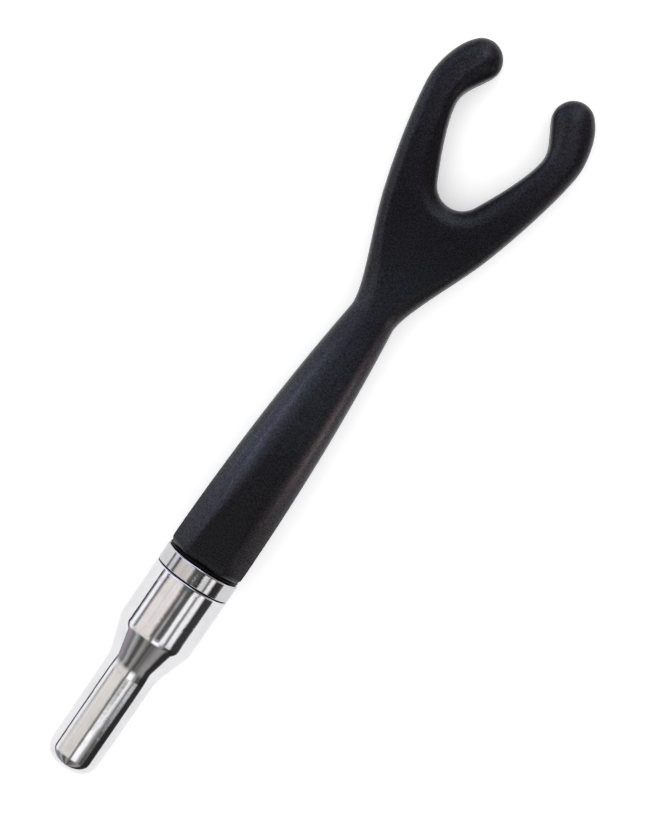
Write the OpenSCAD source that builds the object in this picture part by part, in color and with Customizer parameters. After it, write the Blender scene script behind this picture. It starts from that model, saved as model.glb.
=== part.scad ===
// Forked electrode for a violet ray machine: a black conductive silicone fork on a chromed plug.
// The plug's axis lies along Y, the fork points towards +Y, and the fork lies flat in the XY plane.
// The origin is on the axis, where the straight shank ends and the flare begins.

/* [Plug] */
// Diameter of the shank that slides into the machine's socket
shank_d = 11.1; // [9:0.1:13]
// Length of the shank, from its closed end to the flare
shank_len = 22.4; // [16:0.2:40]
// Rounding of the shank's closed end
nose_r = 3.5; // [1:0.1:4.2]
// Length of the flare between shank and barrel
flare_len = 9.8; // [8:0.1:16]
// Radius of the hollow curve at the foot of the flare
flare_hollow_r = 9; // [3:0.5:12]
// Radius of the shoulder at the top of the flare
flare_shoulder_r = 3.5; // [1:0.5:5]
// Diameter of the barrel and of the collar ring
barrel_d = 16.5; // [15.5:0.1:19]
// Length of the barrel, from the flare to the seam under the collar
barrel_len = 12.7; // [10:0.1:24]
// Wall of the plug's shank and flare
shell_wall = 1.6; // [0.8:0.1:2.2]

/* [Collar] */
// Height of the collar ring
collar_h = 3.7; // [3.4:0.1:6]
// Thickness of the lip at the collar's top
collar_lip = 0.85; // [0.6:0.05:1.2]
// Wall of the collar outside its thread
collar_wall = 1.15; // [0.8:0.05:1.4]
// Wall of the threaded spigot that the collar screws onto
spigot_wall = 1.4; // [1:0.05:1.8]
// Open seam between barrel and collar
seam_gap = 0.25; // [0.05:0.05:0.3]
// Rounding of the chromed edges
chrome_edge_r = 0.3; // [0.1:0.05:0.4]
// Thickness of the rubber seal washer on the collar
seal_t = 0.5; // [0.4:0.1:1.5]
// How far the seal washer stays inside the collar's outside
seal_inset = 0.3; // [0.1:0.05:0.8]

/* [Stem of the head] */
// Width of the stem at its foot
stem_w = 16.4; // [15:0.1:19]
// Thickness of the stem at its foot
stem_t = 14.6; // [13:0.1:18]
// Length of the stem, from its foot to the waist
stem_len = 58.7; // [45:0.1:80]
// Power by which the stem narrows: higher stays wide for longer
stem_bulge = 2.1; // [1.2:0.1:3]
// Width of the stem's side facets at the foot, seen from above
facet_w = 4.1; // [2.5:0.1:5]
// Height of the stem's side facets at the foot, above its upright sides
facet_h = 3.2; // [2:0.1:5]
// Rounding of the stem's foot, at its sides
foot_round = 1.8; // [0.4:0.1:2.4]
// How far that rounding draws in the foot's top and underside
foot_draw = 0.4; // [0.2:0.1:1.6]
// Width of the waist
waist_w = 9.9; // [9:0.1:13]
// Thickness of the waist
waist_t = 10; // [9.5:0.1:12]

/* [Fork] */
// Length of the web, from the waist to the crotch
web_len = 27.2; // [25:0.1:36]
// Length of the tines, from the crotch to the tips
fork_len = 32.3; // [30:0.1:40]
// Width over both tines
fork_w = 36; // [34:0.1:42]
// Widest opening between the tines
gap_w = 20.7; // [19:0.1:22.5]
// Opening between the two tips
mouth_w = 13.4; // [12:0.1:16]
// Diameter of the rounded tips
tip_d = 8.8; // [8:0.1:10]
// Distance from the tines' inner bend to the centre of a tip
hook_len = 9.4; // [7.5:0.1:11]
// Thickness of web and tines
fork_t = 8.6; // [7.6:0.1:9.4]
// Radius of the crotch
crotch_r = 5.1; // [4.5:0.1:6.5]
// Angle between the axis and the inner side of a tine, where it leaves the crotch
splay = 27; // [22:0.5:30]
// Width of the rounding along the fork's edges, seen from above
edge_w = 2.4; // [1.5:0.1:3.2]
// Width of the softer rounding along the crotch, seen from above
crotch_edge_w = 4.2; // [2.5:0.1:5]
// Width of the softer rounding of the tips, seen from above
tip_edge_w = 4; // [2.5:0.1:4.2]

/* [Armature] */
// Diameter of the core rod
rod_d = 4; // [3:0.1:5]
// Length of core rod inside the head
rod_in_head = 65; // [55:0.5:68]
// Diameter of the hub insert moulded into the stem
hub_d = 8.4; // [7:0.1:9]
// Length of hub insert inside the stem
hub_in_stem = 8; // [5:0.5:15]
// Thickness of the foot plate under the collar's lip
foot_plate_t = 0.8; // [0.5:0.1:1]
// Height of the lock nut
nut_h = 3.2; // [2.5:0.1:4]
// Width of the lock nut across its flats
nut_af = 7; // [6:0.1:8]
// Length of core rod that stands out below the lock nut
rod_tail = 1; // [0.5:0.1:3]
// Thickness of the split spring washer
spring_washer_t = 1; // [0.6:0.1:1.2]
// Diameter of the tine wires
wire_d = 1.6; // [1.2:0.1:1.9]
// Length of the crimp sleeve that joins rod and wires
sleeve_len = 10; // [8:0.5:14]
// Wall of the crimp sleeve
sleeve_wall = 0.75; // [0.5:0.05:0.9]
// Diameter of the bead on the end of each wire
bead_d = 4; // [3:0.1:5]

/* [Hidden] */
$fn = 96;

// Clearances
run_gap = 0.1;        // between pieces that turn or slide on each other
seat_gap = 0.05;      // between flat faces that are clamped together
core_gap = 0.05;      // between the silicone and the metal moulded into it
press_gap = 0.02;     // between pieces that are pressed or crimped together

// Radii
shank_r = shank_d / 2;
barrel_r = barrel_d / 2;
collar_bore_r = barrel_r - collar_wall;
spigot_r = collar_bore_r - run_gap;
barrel_bore_r = spigot_r - spigot_wall;
hub_r = hub_d / 2;
rod_r = rod_d / 2;
wire_r = wire_d / 2;
foot_plate_r = (spigot_r + barrel_bore_r) / 2;
sleeve_bore_r = max(rod_r, wire_d + press_gap) + press_gap;
sleeve_r = sleeve_bore_r + sleeve_wall;
bead_r = bead_d / 2;
tip_r = tip_d / 2;

// Places along the axis
seam_y = flare_len + barrel_len;
collar_y = seam_y + seam_gap;
collar_top_y = collar_y + collar_h;
lip_y = collar_top_y - collar_lip;
foot_plate_y = lip_y - run_gap - foot_plate_t;
spigot_top_y = foot_plate_y - seat_gap;
nut_top_y = foot_plate_y - spring_washer_t;
rod_y = nut_top_y - nut_h - rod_tail;
foot_y = collar_top_y + run_gap + seal_t;
hub_y = foot_plate_y + foot_plate_t;
waist_y = foot_y + stem_len;
crotch_y = waist_y + web_len;
tip_end_y = crotch_y + fork_len;
tip = [mouth_w / 2 + tip_r, tip_end_y - tip_r];
bend = [gap_w / 2, tip[1] - hook_len];
waist = [waist_w / 2, waist_y];
widest = [fork_w / 2, bend[1] + hook_len / 5];
rod_top_y = foot_y + rod_in_head;
sleeve_y = rod_top_y - sleeve_len / 2;
sleeve_top_y = sleeve_y + sleeve_len;

// The flare's cone is tangent to its hollow curve and to its shoulder, which a short flare tightens.
flare_step = barrel_r - shank_r;
flare_round = flare_hollow_r + flare_shoulder_r;
flare_fit = min(1, 0.98 * (flare_len ^ 2 + flare_step ^ 2) / (2 * flare_step * flare_round));
hollow_r = flare_hollow_r * flare_fit;
shoulder_r = flare_shoulder_r * flare_fit;
flare_offset = hollow_r + shoulder_r - flare_step;
flare_angle = asin((hollow_r + shoulder_r) / norm([flare_len, flare_offset]))
    - atan2(flare_offset, flare_len);

function mix(a, b, t) = a + (b - a) * t;
function clamp01(t) = min(1, max(0, t));
function smooth(t) = let (c = clamp01(t)) c * c * (3 - 2 * c);
function heading(a) = [sin(a), cos(a)];
function on_circle(centre, r, a) = centre + r * [cos(a), sin(a)];
function arc(centre, r, from, to, steps = 8) =
    [for (i = [0:steps]) on_circle(centre, r, mix(from, to, i / steps))];

// Cubic curve from a to b that leaves and arrives along two headings, each with its own strength
function curve(a, heading_a, pull_a, b, heading_b, pull_b, t) = let (
    ta = heading(heading_a) * norm(b - a) * pull_a,
    tb = heading(heading_b) * norm(b - a) * pull_b
) a * (2 * t ^ 3 - 3 * t ^ 2 + 1) + ta * (t ^ 3 - 2 * t ^ 2 + t)
    + b * (3 * t ^ 2 - 2 * t ^ 3) + tb * (t ^ 3 - t ^ 2);

// Turned pieces: a profile of [radius, place along the axis] spun about Y
module along_y() rotate([-90, 0, 0]) children();
module turned(profile) along_y() rotate_extrude() polygon(profile);
module disc(r, y, h) translate([0, y, 0]) along_y() cylinder(r = r, h = h);
module bush(r, bore_r, y, h) difference() {
    disc(r, y, h);
    disc(bore_r, y - 1, h + 2);
}

// Chromed plug: closed shank, flare, barrel and the threaded spigot under the collar
module plug_shell() {
    bore_floor_y = nose_r + shell_wall - shank_len;
    shank_bore_r = shank_r - shell_wall;
    color("silver") turned(concat(
        [[0, -shank_len]],
        arc([shank_r - nose_r, nose_r - shank_len], nose_r, -90, 0),
        arc([shank_r + hollow_r, 0], hollow_r, 180, 180 - flare_angle),
        arc([barrel_r - shoulder_r, flare_len], shoulder_r, -flare_angle, 0),
        arc([barrel_r - chrome_edge_r, seam_y - chrome_edge_r], chrome_edge_r, 0, 90, 4),
        [
            [spigot_r, seam_y], [spigot_r, spigot_top_y], [barrel_bore_r, spigot_top_y],
            [barrel_bore_r, flare_len], [shank_bore_r, 0], [shank_bore_r, bore_floor_y],
            [0, bore_floor_y]
        ]
    ));
}

// Chromed collar: its lip holds the foot plate down on the spigot
module collar_ring() {
    lip_hole_r = hub_r + run_gap;
    color("gainsboro") turned(concat(
        [[collar_bore_r, collar_y], [barrel_r, collar_y]],
        arc([barrel_r - chrome_edge_r, collar_top_y - chrome_edge_r], chrome_edge_r, 0, 90, 4),
        [[lip_hole_r, collar_top_y], [lip_hole_r, lip_y], [collar_bore_r, lip_y]]
    ));
}

// Rubber washer that shows as the black ring between collar and stem
module seal_washer() {
    seal_r = barrel_r - seal_inset;
    seal_y = foot_y - seal_t;
    edge = seal_t / 2;
    color("#0b0b0c") turned(concat(
        [[hub_r + core_gap, seal_y]],
        arc([seal_r - edge, seal_y + edge], edge, -90, 90),
        [[hub_r + core_gap, foot_y]]
    ));
}

// Foot plate: clamped between the spigot's rim and the collar's lip, it carries the current
module foot_plate() color("darkkhaki") bush(foot_plate_r, rod_r + press_gap, foot_plate_y, foot_plate_t);

// Hub insert: a bush moulded into the stem that the foot plate is drawn up against
module hub_insert() color("goldenrod")
    bush(hub_r, rod_r + press_gap, hub_y, foot_y - hub_y + hub_in_stem);

module core_rod() color("slategray") disc(rod_r, rod_y, rod_top_y - rod_y);

module lock_nut() color("darkgoldenrod") difference() {
    translate([0, nut_top_y - nut_h, 0]) along_y() cylinder(d = nut_af / cos(30), h = nut_h, $fn = 6);
    disc(rod_r + press_gap, nut_top_y - nut_h - 1, nut_h + 2);
}

module spring_washer() {
    slit_angle = 12;
    washer_wall = 1.1;
    color("dimgray") along_y() rotate_extrude(angle = 360 - slit_angle)
        translate([rod_r + run_gap, nut_top_y]) square([washer_wall, spring_washer_t - seat_gap]);
}

// Crimp sleeve: holds the rod's end and the feet of both wires
module crimp_sleeve() color("peru") bush(sleeve_r, sleeve_bore_r, sleeve_y, sleeve_len);

// A tine wire runs out of the sleeve, turns along the tine, and hooks back in to the centre of the tip.
wire_rise = 3.5;                      // from the sleeve's top to the corner of the first turn
wire_turn_r = 14;                     // radius of the first turn
wire_hook_r = 12;                     // radius of the hook
wire_foot = [wire_r + press_gap, rod_top_y + press_gap];
wire_corner = [wire_foot[0], sleeve_top_y + wire_rise];
wire_elbow = mix(bend, widest, 0.6);  // a little outside the middle of the tine
wire_steps = 6;                       // rings in a turn

// Rings around one rounded corner of the wire's path, each [place, direction]
function bearing(from, to) = atan2(to[0] - from[0], to[1] - from[1]);
function wire_turn(from, corner, to, r) = let (
    arriving = bearing(from, corner),
    leaving = bearing(corner, to),
    bend_r = r * sign(leaving - arriving),
    start = corner - heading(arriving) * bend_r * tan((leaving - arriving) / 2)
) [for (i = [0:wire_steps]) let (a = mix(arriving, leaving, i / wire_steps))
    [start + bend_r * [cos(arriving) - cos(a), sin(a) - sin(arriving)], a]];
wire_rings = concat(
    [[wire_foot, 0]],
    wire_turn(wire_foot, wire_corner, wire_elbow, wire_turn_r),
    wire_turn(wire_corner, wire_elbow, tip, wire_hook_r),
    [[tip, bearing(wire_elbow, tip)]]
);

// The wire on the +X side, thickened by a gap where it is the hollow around it
module wire(gap = 0) {
    sides = 10;
    last = len(wire_rings) - 1;
    polyhedron(
        points = [for (ring = wire_rings, k = [0:sides - 1]) let (
            a = 360 * k / sides,
            off = (wire_r + gap) * cos(a)
        ) [ring[0][0] + off * cos(ring[1]), ring[0][1] - off * sin(ring[1]), (wire_r + gap) * sin(a)]],
        faces = concat(
            [[for (k = [sides - 1:-1:0]) k]],
            [for (i = [0:last - 1], k = [0:sides - 1]) let (n = (k + 1) % sides)
                [sides * i + k, sides * i + n, sides * (i + 1) + n, sides * (i + 1) + k]],
            [[for (k = [0:sides - 1]) sides * last + k]]
        )
    );
}
module tine_wire() color("lightslategray") wire();
module tip_bead() color("rosybrown") difference() {
    bead();
    wire(press_gap);
}
module bead(gap = 0) translate([tip[0], tip[1], 0]) sphere(r = bead_r + gap, $fn = 32);

// Outline of the head on the +X side: the outer edge, then the inner edge from the crotch to the tip
flank_share = [0.53, 0.43];           // how far the flank lies from waist to widest, across and along
flank = [mix(waist[0], widest[0], flank_share[0]), mix(waist[1], widest[1], flank_share[1])];
flank_heading = 19.4;                 // direction of the outer edge at the flank
waist_heading = -atan((stem_w - waist_w) / 2 * stem_bulge / stem_len);
crotch_centre = [0, crotch_y + crotch_r];
outer_end = 47;                       // where the outer edge joins the round of the tip
inner_end = 208;                      // where the inner edge joins the round of the tip
outer_tip = on_circle(tip, tip_r, outer_end);
inner_tip = on_circle(tip, tip_r, inner_end);
inner_foot = on_circle(crotch_centre, crotch_r, -splay);

function stem_half(y) = mix(stem_w, waist_w, clamp01((y - foot_y) / stem_len) ^ stem_bulge) / 2;
function flank_in(t) = curve(waist, waist_heading, 0.53, flank, flank_heading, 1, t);
function flank_out(t) = curve(flank, flank_heading, 0.93, widest, 0, 0.5, t);
function outer_hook(t) = curve(widest, 0, 0.5, outer_tip, -outer_end, 1.14, t);
function inner_side(t) = curve(inner_foot, splay, 1.5, bend, 0, 0.43, t);
function inner_hook(t) = curve(bend, 0, 0.93, inner_tip, 180 - inner_end, 1.5, t);

// Half thickness of the head at a place along the axis.
// Between waist and crotch it settles to the fork's, without a kink at the waist.
stem_thinning = (stem_t - waist_t) / 2 * stem_bulge / stem_len;
function web_half_t(t) = mix(waist_t, fork_t, smooth(t)) / 2 - stem_thinning * web_len * t * (1 - t) ^ 2;
function half_t(y) =
    y < waist_y ? mix(stem_t, waist_t, clamp01((y - foot_y) / stem_len) ^ stem_bulge) / 2
    : web_half_t(clamp01((y - waist_y) / web_len));

// Form of the head's sides: the share of the half thickness that stands upright at the parting line,
// and two powers of the curve from there to the top
foot_side = [1 - 2 * facet_h / stem_t, 1.3, 1];        // a facet
waist_side = [0.35, 2.2, 0.6];                         // round
edge_side = [0.4, 2, 0.5];                             // upright, with rounded edges
crotch_side = [0.25, 2, 0.5];
tip_side = [0.3, 2, 0.5];
function rise(share, side) = mix(side[0], 1, (1 - (1 - clamp01(share)) ^ side[1]) ^ side[2]);

// Width of the head's outer sides at a place along the axis, in a row of that span: a facet at the foot,
// nearly the whole half of the round waist, and the fork's edge from the upper web on
waist_round = 0.98;                   // share of the waist's half width that is round
stem_settled = 0.6;                   // share of the stem over which its facets fade
web_settled = 0.6;                    // share of the web over which the sides narrow to the fork's edge
function stem_place(y) = smooth((y - foot_y) / stem_len / stem_settled);
function web_place(y) = smooth((y - waist_y) / web_len / web_settled);
function side_form(y) = y < waist_y ? mix(foot_side, waist_side, stem_place(y))
    : mix(waist_side, edge_side, web_place(y));
function side_w(y, span) = y < waist_y ? span * mix(2 * facet_w / stem_w, waist_round, stem_place(y))
    : mix(waist_round * waist_w / 2, edge_w, web_place(y));

// Rows across the half head from foot to tip: [outer end, inner end]
stem_rows = 14;
web_rows = 10;
crotch_rows = 6;
tine_rows = 9;
hook_rows = 6;
tip_rows = 6;
web_share = 0.1;                      // share of the outer edge past the flank that faces the web
crotch_share = 0.25;                  // share of it that faces web and crotch
web_top_y = crotch_y - crotch_edge_w;
rows = concat(
    [for (i = [0:stem_rows - 1]) let (y = mix(foot_y + foot_round, waist_y, i / stem_rows))
        [[stem_half(y), y], [0, y]]],
    [for (i = [0:web_rows - 1]) let (t = i / web_rows)
        [flank_in(t), [0, mix(waist_y, web_top_y, t)]]],
    [for (i = [0:crotch_rows - 1]) let (t = i / crotch_rows)
        [flank_out(web_share * t), [0, web_top_y + crotch_edge_w * sin(90 * t)]]],
    [for (i = [0:crotch_rows - 1]) let (t = i / crotch_rows, a = mix(-90, -splay, t))
        [flank_out(mix(web_share, crotch_share, t)), on_circle(crotch_centre, crotch_r, a)]],
    [for (i = [0:tine_rows - 1]) let (t = i / tine_rows)
        [flank_out(mix(crotch_share, 1, t)), inner_side(t)]],
    [for (i = [0:hook_rows - 1]) let (t = i / hook_rows) [outer_hook(t), inner_hook(t)]],
    [for (i = [0:tip_rows - 1]) let (t = sin(90 * i / tip_rows))
        [on_circle(tip, tip_r, mix(outer_end, 90, t)), on_circle(tip, tip_r, mix(inner_end, 90, t))]]
);
crotch_row = stem_rows + web_rows + crotch_rows;   // first row whose inner end is on the fork's edge
tine_row = crotch_row + crotch_rows;               // rows before this one look to the crotch's circle
tip_row = tine_row + tine_rows + hook_rows;        // rows from this one on look to the tip's circle

// How far a place lies inside the fork's inner edge, given its distance along its row
function depth(index, p, along) =
    index >= tip_row ? tip_r - norm(p - tip)
    : index < tine_row ? norm(p - crotch_centre) - crotch_r
    : along;

// The edges are softer along the crotch, on the first part of a tine, and again on the hook and the tip.
soft_rows = 6;
function past_crotch(index) = smooth((index - tine_row + 1) / soft_rows);
function to_tip(index) = smooth((index - tip_row) / hook_rows + 1);

// A row's points, from the outer edge over the top to the inner end
corner_steps = 4;
middle_steps = 2;
fork_round = 0.45;                    // most that an outer side of the fork takes of its row
function corner(width) = [for (k = [0:corner_steps]) width * (1 - cos(90 * k / corner_steps))];
function row_points(index) = let (
    outer = rows[index][0],
    inner = rows[index][1],
    span = norm(inner - outer),
    across = (inner - outer) / span,
    outer_form = mix(side_form(outer[1]), tip_side, to_tip(index)),
    outer_w = mix(side_w(outer[1], span), tip_edge_w, to_tip(index)),
    edge = index < crotch_row ? min(outer_w, waist_round * span) : min(outer_w, fork_round * span),
    inner_form = mix(mix(crotch_side, edge_side, past_crotch(index)), tip_side, to_tip(index)),
    inner_w = mix(mix(crotch_edge_w, edge_w, past_crotch(index)), tip_edge_w, to_tip(index)),
    inner_edge = min(inner_w, 0.6 * (span - edge)),
    inner_corner = corner(inner_edge),
    middle = [for (k = [1:middle_steps]) mix(edge, span - inner_edge, k / (middle_steps + 1))],
    places = concat(
        [0], corner(edge), middle, [for (k = [corner_steps:-1:0]) span - inner_corner[k]], [span]
    ),
    last = len(places) - 1
) [for (k = [0:last]) let (
    p = outer + across * places[k],
    on_outer_side = k <= corner_steps + 1 && index < tip_row,
    height = on_outer_side ? rise(places[k] / edge, outer_form)
        : rise(depth(index, p, span - places[k]) / inner_w, inner_form),
    on_parting_line = k == 0 || (k == last && index >= crotch_row)
) [p[0], p[1], on_parting_line ? 0 : half_t(p[1]) * height]];

// The foot's rounding: the lowest row drawn in towards the axis
foot_rows = 3;
function foot_points(index) = let (
    a = 90 * index / foot_rows,
    inset = 1 - sin(a),
    wide = 1 - 2 * foot_round * inset / stem_w,
    thick = 1 - 2 * foot_draw * inset / stem_t,
    y = foot_y + foot_round * (1 - cos(a)),
    full = row_points(0)
) [for (p = full) [p[0] * wide, y, p[2] * thick]];

// The end of the tip: the last row drawn together to an upright line
end_height = tip_side[0] * fork_t / 2;
end_points = [for (p = row_points(len(rows) - 1)) [tip[0], tip_end_y, min(p[2], end_height)]];

top_rows = concat(
    [for (i = [0:foot_rows - 1]) foot_points(i)],
    [for (i = [0:len(rows) - 1]) row_points(i)],
    [end_points]
);
columns = len(top_rows[0]);
last_row = len(top_rows) - 1;

// The skin of one quarter of the head, above the XY plane on the +X side, as triangles
function flat(p) = [p[0], p[1], 0];
foot_triangles = [for (j = [0:columns - 2]) let (a = top_rows[0][j], b = top_rows[0][j + 1])
    each [[a, b, flat(b)], [a, flat(b), flat(a)]]];
skin_triangles = [for (i = [0:last_row - 1], j = [0:columns - 2]) let (
    a = top_rows[i][j],
    b = top_rows[i][j + 1],
    c = top_rows[i + 1][j + 1],
    d = top_rows[i + 1][j]
) each [[a, d, c], [a, c, b]]];
function has_area(f) = min(norm(f[0] - f[1]), norm(f[1] - f[2]), norm(f[2] - f[0])) > 1e-6;
function off_middle(f) = max(f[0][0], f[1][0], f[2][0]) > 1e-6;
quarter = [for (f = concat(foot_triangles, skin_triangles)) if (has_area(f) && off_middle(f)) f];

// The other three quarters are mirrored, with their triangles turned to face outwards again.
function mirrored(f, sx, sz) =
    [for (p = sx * sz < 0 ? [f[0], f[2], f[1]] : f) [sx * p[0], p[1], sz * p[2]]];
skin = [for (sx = [1, -1], sz = [1, -1], f = quarter) mirrored(f, sx, sz)];
module head_skin() polyhedron(
    points = [for (f = skin, p = f) p],
    faces = [for (i = [0:len(skin) - 1]) [3 * i, 3 * i + 1, 3 * i + 2]]
);

// Silicone head, hollow where the armature is moulded in
module fork_head() color("#17171b") difference() {
    head_skin();
    disc(hub_r + core_gap, foot_y - 1, 1 + hub_in_stem + core_gap);
    disc(rod_r + core_gap, foot_y - 1, sleeve_y - foot_y + 1);
    disc(sleeve_r + core_gap, sleeve_y - core_gap, sleeve_len + 2 * core_gap);
    for (side = [0, 1]) mirror([side, 0, 0]) {
        wire(core_gap);
        bead(core_gap);
    }
}

plug_shell();
collar_ring();
seal_washer();
fork_head();
hub_insert();
core_rod();
foot_plate();
spring_washer();
lock_nut();
crimp_sleeve();
mirror([1, 0, 0]) tine_wire();  // left_tine_wire
tine_wire();  // right_tine_wire
mirror([1, 0, 0]) tip_bead();  // left_tip_bead
tip_bead();  // right_tip_bead
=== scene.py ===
from math import asin, atan, atan2, ceil, cos, degrees, hypot, pi, radians, sin

import bmesh
import bpy
from mathutils import Matrix, Vector


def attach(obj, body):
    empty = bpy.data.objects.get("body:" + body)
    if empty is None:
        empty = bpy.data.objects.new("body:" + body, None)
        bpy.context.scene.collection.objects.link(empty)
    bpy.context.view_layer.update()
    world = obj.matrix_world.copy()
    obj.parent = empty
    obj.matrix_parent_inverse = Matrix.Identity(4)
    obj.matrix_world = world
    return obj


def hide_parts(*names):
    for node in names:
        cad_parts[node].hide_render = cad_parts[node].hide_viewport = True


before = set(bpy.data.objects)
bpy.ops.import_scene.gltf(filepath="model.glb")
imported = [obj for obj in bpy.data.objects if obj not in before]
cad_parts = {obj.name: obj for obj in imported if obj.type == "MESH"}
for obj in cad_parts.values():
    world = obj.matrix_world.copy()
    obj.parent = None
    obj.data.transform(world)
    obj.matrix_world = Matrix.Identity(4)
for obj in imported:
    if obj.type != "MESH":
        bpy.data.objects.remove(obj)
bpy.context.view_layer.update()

MM = 0.001

# Sizes of the plug, collar and washer, in millimetres
SHANK_R = 5.55
SHANK_LEN = 22.4
NOSE_R = 3.5
FLARE_LEN = 9.8
HOLLOW_R = 9.0
SHOULDER_R = 3.5
BARREL_R = 8.25
SEAM_Y = 22.5
SHELL_WALL = 1.6
BARREL_BORE_R = 5.6
SPIGOT_R = 7.0
SPIGOT_TOP_Y = 24.65
SPIGOT_CHAMFER = 0.22
CHROME_EDGE_R = 0.3
EDGE_HOLD = 0.05
COLLAR_Y = 22.75
COLLAR_TOP_Y = 26.45
COLLAR_BORE_R = 7.1
COLLAR_FOOT_R = 0.1
LIP_Y = 25.6
LIP_HOLE_R = 4.3
LIP_EDGE_R = 0.12
SEAL_Y = 26.55
SEAL_R = 7.95
SEAL_BORE_R = 4.25
THREAD_PITCH = 0.75
THREAD_DEPTH = 0.36
THREAD_END_Y = 24.62
SPIGOT_THREAD_FADE = 0.2
COLLAR_THREAD_FADE = 0.15

# Fineness of the turned pieces: segments in a turn, steps in each arc, and longest steps in millimetres
TURN_SEGMENTS = 192
THREAD_STEPS = 14
NOSE_STEPS = 24
HOLLOW_STEPS = 12
SHOULDER_STEPS = 8
CHROME_EDGE_STEPS = 8
COLLAR_FOOT_STEPS = 6
LIP_EDGE_STEPS = 4
SEAL_STEPS = 20
OUTSIDE_STEP = 0.9
COLLAR_STEP = 0.4
NOSE_FACE_STEP = 0.7
FACE_STEP = 0.5
CHAMFER_STEP = 0.1
BORE_STEP = 1.5
BORE_FLOOR_STEP = 0.8
COLLAR_FACE_STEP = 0.3
THREAD_RELIEF_STEP = 0.2
SEAL_BORE_STEP = 0.3

# Points closer than this are one, in a profile's millimetres and in a mesh's metres
SAME_POINT = 1e-4
MERGE = 1e-7

# Edges that turn further than this stay sharp
TURNED_SHARP = radians(32)
HEAD_SHARP = radians(50)

# Sizes of the silicone head, in millimetres
FOOT_Y = 27.05
FOOT_ROUND = 1.8
FOOT_DRAW = 0.4
STEM_W = 16.4
STEM_T = 14.6
STEM_LEN = 58.7
STEM_BULGE = 2.1
FACET_W = 4.1
FACET_H = 3.2
WAIST_W = 9.9
WAIST_T = 10.0
WEB_LEN = 27.2
FORK_LEN = 32.3
FORK_W = 36.0
GAP_W = 20.7
MOUTH_W = 13.4
TIP_R = 4.4
HOOK_LEN = 9.4
FORK_T = 8.6
CROTCH_R = 5.1
SPLAY = 27.0
EDGE_W = 2.4
CROTCH_EDGE_W = 4.2
TIP_EDGE_W = 4.0
FLASH_RISE = 0.06
FLASH_HALF = 0.08
HUB_POCKET_R = 4.25
HUB_POCKET_TOP_Y = 35.1
ROD_POCKET_R = 2.05
ROD_POCKET_TOP_Y = 87.0

# The photograph's frame: its height in pixels, its scale and turn, and its centre and the eye in
# millimetres; then the camera's sensor in millimetres and its clipping in metres
IMAGE_H = 819
MM_PER_PIXEL = 0.2
VIEW_TURN = radians(34.43)
VIEW_CENTRE = (2.2, 65.3)
EYE = (2.2, 100.0, 450.0)
SENSOR_W = 36.0
CLIP = (0.01, 10.0)


# Small helpers for node trees

def put(tree, socket, value):
    if isinstance(value, bpy.types.NodeSocket):
        tree.links.new(value, socket)
    else:
        socket.default_value = value


def node(tree, kind, inputs=None, **settings):
    made = tree.nodes.new(kind)
    for name, value in settings.items():
        setattr(made, name, value)
    for key, value in (inputs or {}).items():
        put(tree, made.inputs[key], value)
    return made


def maths(tree, operation, *values):
    return node(tree, "ShaderNodeMath", dict(enumerate(values)), operation=operation).outputs[0]


def mapped(tree, value, low, high, to_low, to_high, blend="LINEAR"):
    return node(tree, "ShaderNodeMapRange", {
        "Value": value, "From Min": low, "From Max": high, "To Min": to_low, "To Max": to_high,
    }, interpolation_type=blend).outputs["Result"]


def blended(tree, factor, first, second):
    made = node(tree, "ShaderNodeMix", data_type="RGBA")
    put(tree, made.inputs["Factor"], factor)
    put(tree, made.inputs[6], first)
    put(tree, made.inputs[7], second)
    return made.outputs[2]


def new_group(name, kind, inputs, outputs):
    tree = bpy.data.node_groups.new(name, kind)
    for title, socket_type, value in inputs:
        socket = tree.interface.new_socket(title, in_out="INPUT", socket_type=socket_type)
        if value is not None:
            socket.default_value = value
    for title, socket_type in outputs:
        tree.interface.new_socket(title, in_out="OUTPUT", socket_type=socket_type)
    return tree, node(tree, "NodeGroupInput").outputs, node(tree, "NodeGroupOutput").inputs


# Shared surface effects

def moulded_grain_group():
    tree, given, result = new_group(
        "moulded_grain", "ShaderNodeTree",
        [("Place", "NodeSocketVector", None), ("Grain size", "NodeSocketFloat", 0.0002),
         ("Cloud size", "NodeSocketFloat", 0.008), ("Flow", "NodeSocketFloat", 0.5)],
        [("Grain", "NodeSocketFloat"), ("Cloud", "NodeSocketFloat"), ("Speckle", "NodeSocketFloat")])
    fine = node(tree, "ShaderNodeTexNoise", {
        "Vector": given["Place"], "Scale": maths(tree, "DIVIDE", 1.0, given["Grain size"]),
        "Detail": 3.0, "Roughness": 0.6})
    pits = node(tree, "ShaderNodeTexVoronoi", {
        "Vector": given["Place"], "Scale": maths(tree, "DIVIDE", 0.6, given["Grain size"])})
    cloud = node(tree, "ShaderNodeTexNoise", {
        "Vector": given["Place"], "Scale": maths(tree, "DIVIDE", 1.0, given["Cloud size"]),
        "Detail": 4.0, "Roughness": 0.5, "Distortion": given["Flow"]})
    speckle = node(tree, "ShaderNodeTexNoise", {
        "Vector": given["Place"], "Scale": maths(tree, "DIVIDE", 0.55, given["Grain size"]),
        "Detail": 2.0, "Roughness": 0.5})
    grain = maths(tree, "ADD", maths(tree, "MULTIPLY", fine.outputs["Fac"], 0.7),
                  maths(tree, "MULTIPLY", pits.outputs["Distance"], 0.3))
    put(tree, result["Grain"], grain)
    put(tree, result["Cloud"], mapped(tree, cloud.outputs["Fac"], 0.3, 0.7, 0.0, 1.0))
    put(tree, result["Speckle"], mapped(tree, speckle.outputs["Fac"], 0.32, 0.68, 0.0, 1.0))
    return tree


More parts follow.
